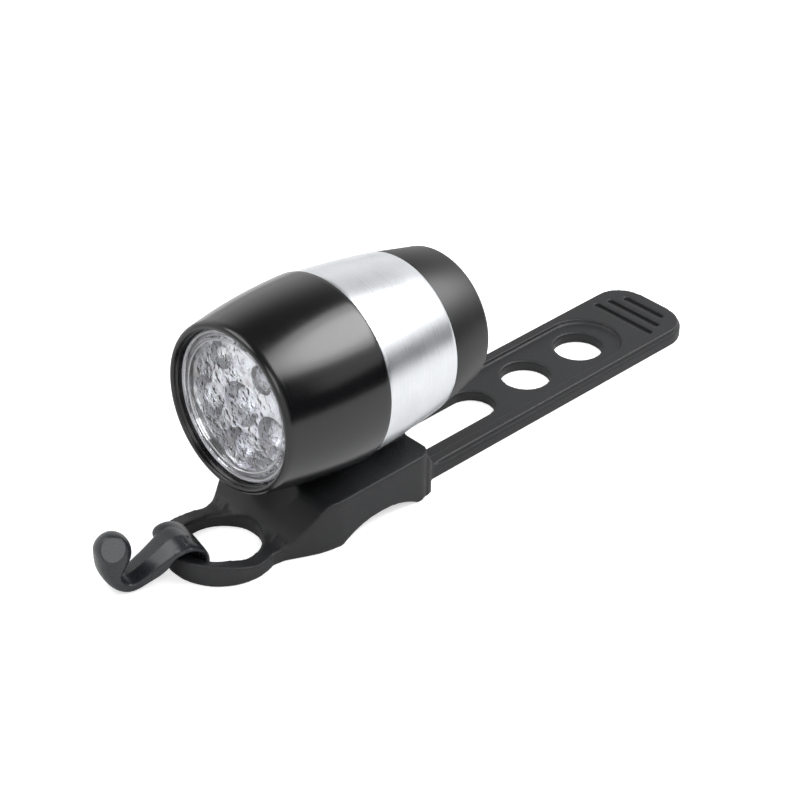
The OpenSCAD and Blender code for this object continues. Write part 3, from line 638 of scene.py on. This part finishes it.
def plated(name, tints, rough, ripple_size, height):
    """Bright plating over a rippled base: small glints and faint clouds of several tints."""
    material, tree = new_material(name)
    clouds_per_ripple = 0.3
    place = add_node(tree, "TexCoord").outputs["Object"]
    ripple = add_node(tree, "TexNoise", {"Scale": 1 / (ripple_size * mm), "Detail": 2.0}, {"Vector": place})
    relief = add_node(
        tree, "Bump", {"Strength": 1.0, "Distance": height * mm}, {"Height": ripple.outputs["Fac"]})
    cloud = add_node(
        tree, "TexNoise", {"Scale": clouds_per_ripple / (ripple_size * mm), "Detail": 3.0}, {"Vector": place})
    tint = add_node(tree, "ValToRGB", {}, {"Fac": cloud.outputs["Fac"]})
    stops = tint.color_ramp.elements
    while len(stops) < len(tints):
        stops.new(0.5)
    first_stop, stops_over = 0.3, 0.4
    for i, code in enumerate(tints):
        stops[i].position = first_stop + stops_over * i / (len(tints) - 1)
        stops[i].color = linear(code)
    gloss = add_node(
        tree, "MapRange", {"To Min": rough[0], "To Max": rough[1]}, {"Value": ripple.outputs["Fac"]})
    shader = add_node(
        tree, "BsdfPrincipled", {"Metallic": 1.0},
        {"Base Color": tint.outputs["Color"], "Roughness": gloss.outputs["Result"],
         "Normal": relief.outputs["Normal"]})
    add_node(tree, "OutputMaterial", {}, {"Surface": shader.outputs["BSDF"]})
    return material


# Silver-plated steel strip: the brightest metal here, rippled by the stamping.
silver = plated(
    "stamped_silver_plated_steel", ("#e6e0da", "#fbfbfd", "#ece8f2"), (0.15, 0.35),
    ripple_size=0.9, height=0.25)
dish_floor, dish_rim, lead_end = 15.0, 15.6, 10.5
frame_section = [
    (0, dish_floor), (0.6, dish_floor), (1.5, dish_rim), (1.95, dish_rim), (1.95, 14.7), (0.6, 14.0),
    (0.5, lead_end), (0, lead_end)]
diode_ring_r, diode_step = 8.6, 72
for number in range(1, 7):
    paint("led_%d" % number, diode_resin)
    lead_frame = blank(turn(frame_section, steps=48, closed=False), "lead_frame_%d" % number)
    if number > 1:
        round_ring = Matrix.Rotation(math.radians(diode_step * (number - 2)), 4, "Z")
        out_to_ring = round_ring @ Matrix.Translation((diode_ring_r * mm, 0, 0))
        lead_frame.data.transform(lamp_axis @ out_to_ring @ lamp_axis.inverted())
    dress(lead_frame, "cell_steel", silver)
    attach(lead_frame, "head")

# Reflector: one moulded disc with six cups, vacuum plated with aluminium. The mould's facets and flow
# lines break its mirror into many small glints.
# Vacuum-plated aluminium: a bright soft mirror with faint warm and violet clouds.
reflector_plating = plated(
    "vacuum_plated_aluminium", ("#d8d0d5", "#f4f5f8", "#dfdbe6", "#f8f3ef"), (0.2, 0.42),
    ripple_size=1.3, height=0.4)
paint("reflector", reflector_plating)

# Lens and gasket: a clear acrylic disc, stippled behind to spread the beam. Two round beads run along its
# edge, and its flange presses a thin rubber ring against the front shell's ledge.
stipple_r, lens_r, flange_r = 11.1, 12.94, 13.68
lens_front, flange_x, lens_back = 20.45, 19.3, 17.9
lens_section = [
    (0, lens_front), (6, lens_front), (stipple_r, lens_front), (11.2, 20.52), (11.4, 20.64), (11.6, 20.64),
    (11.8, 20.52), (11.9, 20.42), (12.15, 20.4), (12.3, 20.5), (12.5, 20.64), (12.7, 20.66),
    (12.85, 20.58), (lens_r, 20.4), (lens_r, flange_x), (flange_r, flange_x), (flange_r, lens_back),
    (stipple_r, lens_back), (0, lens_back)]
lens = blank(turn(lens_section, closed=False), "clear_lens")
shade(lens, sharp=50)


def from_axis(tree, place):
    """Place along the lamp's axis and distance from it."""
    start = add_node(tree, "VectorMath", {"operation": "SUBTRACT", 1: lamp_axis.translation}, {0: place})
    from_start = {0: start.outputs["Vector"]}
    along = add_node(tree, "VectorMath", {"operation": "DOT_PRODUCT", 1: forward}, from_start)
    out = add_node(tree, "VectorMath", {"operation": "CROSS_PRODUCT", 1: forward}, from_start)
    far = add_node(tree, "VectorMath", {"operation": "LENGTH"}, {0: out.outputs["Vector"]})
    return along.outputs["Value"], far.outputs["Value"]


# Moulded acrylic: clear and smooth in front, pebbled behind, so that what lies there breaks into glints.
clear_plastic, tree = new_material("moulded_clear_acrylic")
place = add_node(tree, "TexCoord").outputs["Object"]
along, far = from_axis(tree, place)
pebble_size, pebble_height, back_zone = 1.5, 0.52, 18.0
stipple = add_node(tree, "TexNoise", {"Scale": 1 / (pebble_size * mm), "Detail": 2.0}, {"Vector": place})
behind = add_node(tree, "Math", {"operation": "LESS_THAN", 1: back_zone * mm}, {0: along})
inside = add_node(tree, "Math", {"operation": "LESS_THAN", 1: stipple_r * mm}, {0: far})
pebbled = add_node(
    tree, "Math", {"operation": "MULTIPLY"}, {0: behind.outputs["Value"], 1: inside.outputs["Value"]})
relief = add_node(
    tree, "Bump", {"Distance": pebble_height * mm},
    {"Height": stipple.outputs["Fac"], "Strength": pebbled.outputs["Value"]})
shader = add_node(
    tree, "BsdfPrincipled",
    {"Base Color": linear("#fbfdfe"), "Transmission Weight": 1.0, "IOR": 1.49, "Roughness": 0.02},
    {"Normal": relief.outputs["Normal"]})
add_node(tree, "OutputMaterial", {}, {"Surface": shader.outputs["BSDF"]})
dress(lens, "clear_plastic", clear_plastic, "lens")

# Frosted acrylic: the beaded edge comes from a blasted mould, so milky rings alternate with clear ones.
milky, tree = new_material("blasted_mould_acrylic")
place = add_node(tree, "TexCoord").outputs["Object"]
_, far = from_axis(tree, place)
bands = add_node(
    tree, "MapRange", {"From Min": stipple_r * mm, "From Max": lens_r * mm}, {"Value": far})
clear = add_node(tree, "ValToRGB", {}, {"Fac": bands.outputs["Result"]})
stops = clear.color_ramp.elements
clear_bands = (
    (0, 0.1), (0.07, 0.1), (0.12, 0.85), (0.4, 0.75), (0.5, 0.98), (0.66, 0.8), (0.76, 0.2), (0.82, 0.2),
    (0.9, 0.95))
while len(stops) < len(clear_bands):
    stops.new(0.5)
for element, (spot, share) in zip(stops, clear_bands):
    element.position = spot
    element.color = (share, share, share, 1)
shader = add_node(
    tree, "BsdfPrincipled", {"Base Color": linear("#b8b8bc"), "IOR": 1.49, "Roughness": 0.12},
    {"Transmission Weight": clear.outputs["Color"]})
add_node(tree, "OutputMaterial", {}, {"Surface": shader.outputs["BSDF"]})
lens.data.materials.append(milky)
to_axis, front_zone = lamp_axis.inverted(), 20.2
for face in lens.data.polygons:
    spot = to_axis @ face.center
    if spot.xy.length > stipple_r * mm and spot.z > front_zone * mm:
        face.material_index = 1
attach(lens, "head")
paint("lens_gasket", seal_rubber)

# Front shell: turned aluminium dyed black and sealed to a gloss. It screws onto the band and presses the
# lens pack together; stepped rings line its recess down to the lens.
rim_r, rim_x, rim_round, window_r, ledge_x = 14.4, 22.0, 0.5, 13.0, 19.7
head_bore_r, socket_r, socket_x, lip_chamfer = 13.8, 14.5, 7.5, 0.3


def head_radius(x):
    """Radius of the front shell, which bows in towards its rim."""
    return lip_r - (lip_r - rim_r) * ((x - lip_x) / (rim_x - lip_x)) ** 2


head_start, head_stop = lip_x + lip_chamfer, rim_x - rim_round
head_outer = [
    (head_radius(x), x)
    for x in (head_start + (head_stop - head_start) * i / curve_steps for i in range(curve_steps + 1))]
head_section = [(lip_r - lip_chamfer, lip_x)] + head_outer + [
    (14.3, 21.8), (14.05, rim_x), (13.65, rim_x), (13.4, 21.85), (13.3, 21.35), (13.12, 21.25),
    (13.05, 20.7), (window_r, 20.6), (window_r, ledge_x), (head_bore_r, ledge_x),
    (head_bore_r, socket_x), (socket_r, socket_x), (socket_r, lip_x)]
# Dyed and sealed aluminium: deep black with narrow, clear highlights along the barrel.
gloss_black = lathe_turned(
    "gloss_black_anodised_aluminium", "#050506", "#09090b", (0.16, 0.24), mark=0.22, height=0.003, IOR=1.53)
head = turned_piece("front_shell_barrel", head_section)
dress(head, "gloss_black_anodised", gloss_black, "front_shell")
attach(head, "head")

# Table and studio: a white table in a white room with a dim ceiling. A large softbox with a brighter core
# hangs behind the lamp on its left, a second one ahead on the right and a third ahead on the left. Two black
# cards, one low and one tall, stand on the left and show only as dark lines in what is glossy.
floor_sheet = bmesh.new()
bmesh.ops.create_grid(
    floor_sheet, x_segments=1, y_segments=1, size=3.0, matrix=Matrix.Translation((0, 0, table_z * mm)))
table = blank(floor_sheet, "white_table")
# White laminate: even and matt, and lifted for the camera so that it ends in the white of the room.
white_table, tree = new_material("white_laminate")
path = add_node(tree, "LightPath")
matt = add_node(tree, "BsdfDiffuse", {"Color": linear("#e0e0e0")})
camera_lift = 0.6
lift = add_node(
    tree, "Math", {"operation": "MULTIPLY", 1: camera_lift}, {0: path.outputs["Is Camera Ray"]})
glow = add_node(tree, "Emission", {"Color": (1, 1, 1, 1)}, {"Strength": lift.outputs["Value"]})
total = add_node(tree, "AddShader", {}, {0: matt.outputs["BSDF"], 1: glow.outputs["Emission"]})
add_node(tree, "OutputMaterial", {}, {"Surface": total.outputs["Shader"]})
table.data.materials.append(white_table)

world = bpy.data.worlds.new("white_studio")
scene.world = world
world.use_nodes = True
tree = world.node_tree
tree.nodes.clear()
path = add_node(tree, "LightPath")
mirrored = add_node(
    tree, "Math", {"operation": "MAXIMUM"},
    {0: path.outputs["Is Glossy Ray"], 1: path.outputs["Is Transmission Ray"]})
way = add_node(tree, "TexCoord").outputs["Generated"]
height = add_node(tree, "SeparateXYZ", {}, {"Vector": way}).outputs["Z"]
wall_top, ceiling_start = math.sin(math.radians(20)), math.sin(math.radians(56))
wall, ceiling = 1.05, 0.15
room = add_node(
    tree, "MapRange",
    {"interpolation_type": "SMOOTHSTEP", "From Min": wall_top, "From Max": ceiling_start,
     "To Min": wall, "To Max": ceiling},
    {"Value": height})
room_light = 0.4
unseen = add_node(
    tree, "Mix", {"data_type": "FLOAT", "A": room_light},
    {"Factor": mirrored.outputs["Value"], "B": room.outputs["Result"]})
level = add_node(
    tree, "Mix", {"data_type": "FLOAT", "B": 1.0},
    {"Factor": path.outputs["Is Camera Ray"], "A": unseen.outputs["Result"]})
sky = add_node(tree, "Background", {"Color": (1, 1, 1, 1)}, {"Strength": level.outputs["Result"]})
add_node(tree, "OutputWorld", {}, {"Surface": sky.outputs["Background"]})


def bearing(azimuth, elevation):
    """Direction out from the lamp, from angles in degrees."""
    a, e = math.radians(azimuth), math.radians(elevation)
    return Vector((math.cos(e) * math.cos(a), math.cos(e) * math.sin(a), math.sin(e)))


light_distance = 0.75
for name, azimuth, elevation, wide, high, power in (
        ("softbox", 148, 50, 0.68, 0.56, 4.6), ("softbox_core", 146, 50, 0.46, 0.36, 1.7),
        ("front_softbox", -52, 58, 0.6, 0.5, 2.6), ("side_softbox", 57, 47, 0.45, 0.4, 1.4)):
    light = bpy.data.lights.new(name, "AREA")
    light.shape, light.size, light.size_y, light.energy = "ELLIPSE", wide, high, power
    lamp = bpy.data.objects.new(name, light)
    away = bearing(azimuth, elevation)
    lamp.location = away * light_distance
    lamp.rotation_euler = (-away).to_track_quat("-Z", "Y").to_euler()
    scene.collection.objects.link(lamp)

# Black paper: dull and nearly black, so that it mirrors as a soft dark line.
black_card, tree = new_material("black_paper")
dull = add_node(tree, "BsdfDiffuse", {"Color": linear("#171c21")})
add_node(tree, "OutputMaterial", {}, {"Surface": dull.outputs["BSDF"]})
for name, azimuth, distance, wide, low, high in (
        ("low_black_card", 124, 0.26, 0.36, -0.002, 0.088),
        ("tall_black_card", 98, 0.3, 0.12, -0.002, 0.42)):
    card_sheet = bmesh.new()
    bmesh.ops.create_grid(card_sheet, x_segments=1, y_segments=1, size=0.5)
    bmesh.ops.scale(card_sheet, vec=(wide, high - low, 1), verts=card_sheet.verts)
    card_place = bearing(azimuth, 0) * distance
    card_place.z = (low + high) / 2
    facing = (-bearing(azimuth, 0)).to_track_quat("Z", "Y").to_matrix().to_4x4()
    card = blank(moved(card_sheet, Matrix.Translation(card_place) @ facing), name)
    card.data.materials.append(black_card)
    card.visible_camera = card.visible_diffuse = False
    card.visible_shadow = card.visible_transmission = False
